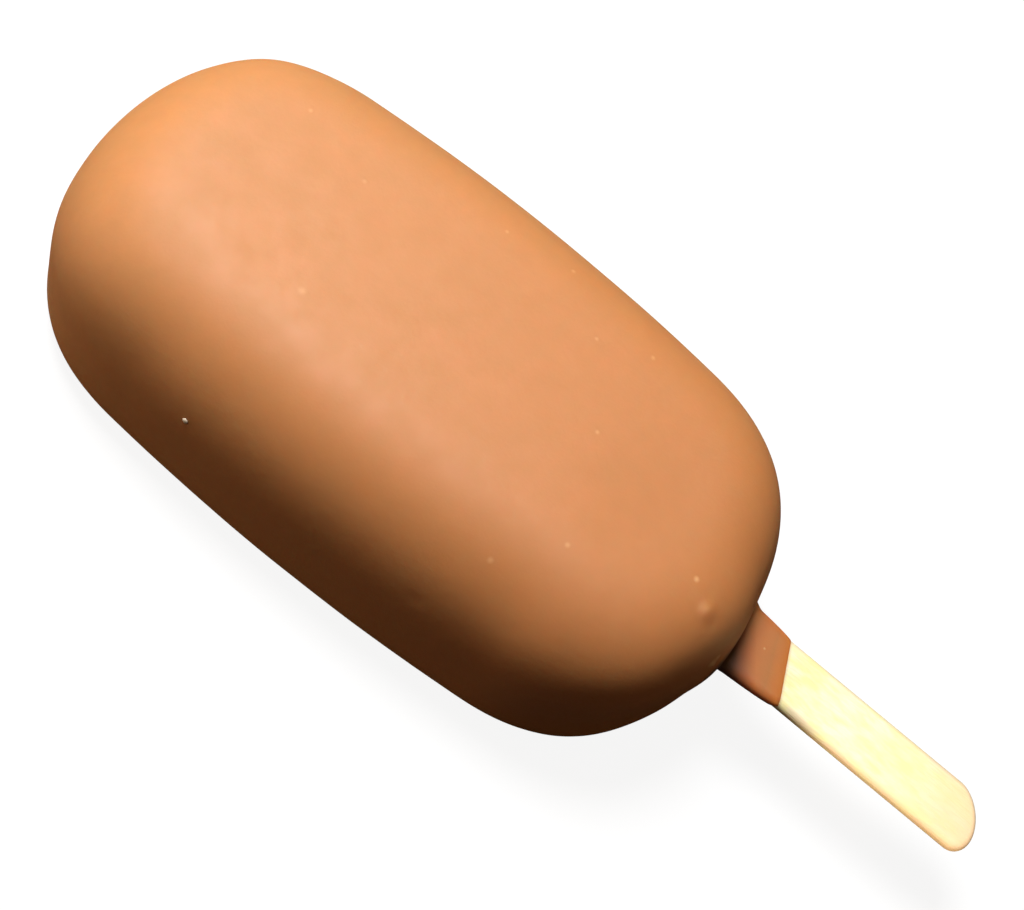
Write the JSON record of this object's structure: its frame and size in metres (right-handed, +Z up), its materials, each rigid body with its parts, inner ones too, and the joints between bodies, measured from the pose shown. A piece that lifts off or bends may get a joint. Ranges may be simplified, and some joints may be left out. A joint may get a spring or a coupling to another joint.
{
  "type": "chocolate-coated ice cream bar on a stick",
  "caption": "Oblong ice cream bar with round ends and soft edges, coated in milk chocolate, on a flat wooden stick whose root the coating covers.",
  "frame": {"origin": "under the middle of the whole bar, stick included, on the surface that it lies on", "axes": "+X along the stick, from the coated block to the stick's free end; +Z up, out of the crowned face; +Y across the block"},
  "size_m": [0.1331, 0.0516, 0.0299],
  "materials": {
    "milk_chocolate": "satin milk-chocolate coating",
    "bare_wood": "plain unvarnished pale wood"
  },
  "bodies": {
    "root": {"chocolate_bar": "milk_chocolate", "wooden_stick": "bare_wood"}
  },
  "joints": []
}
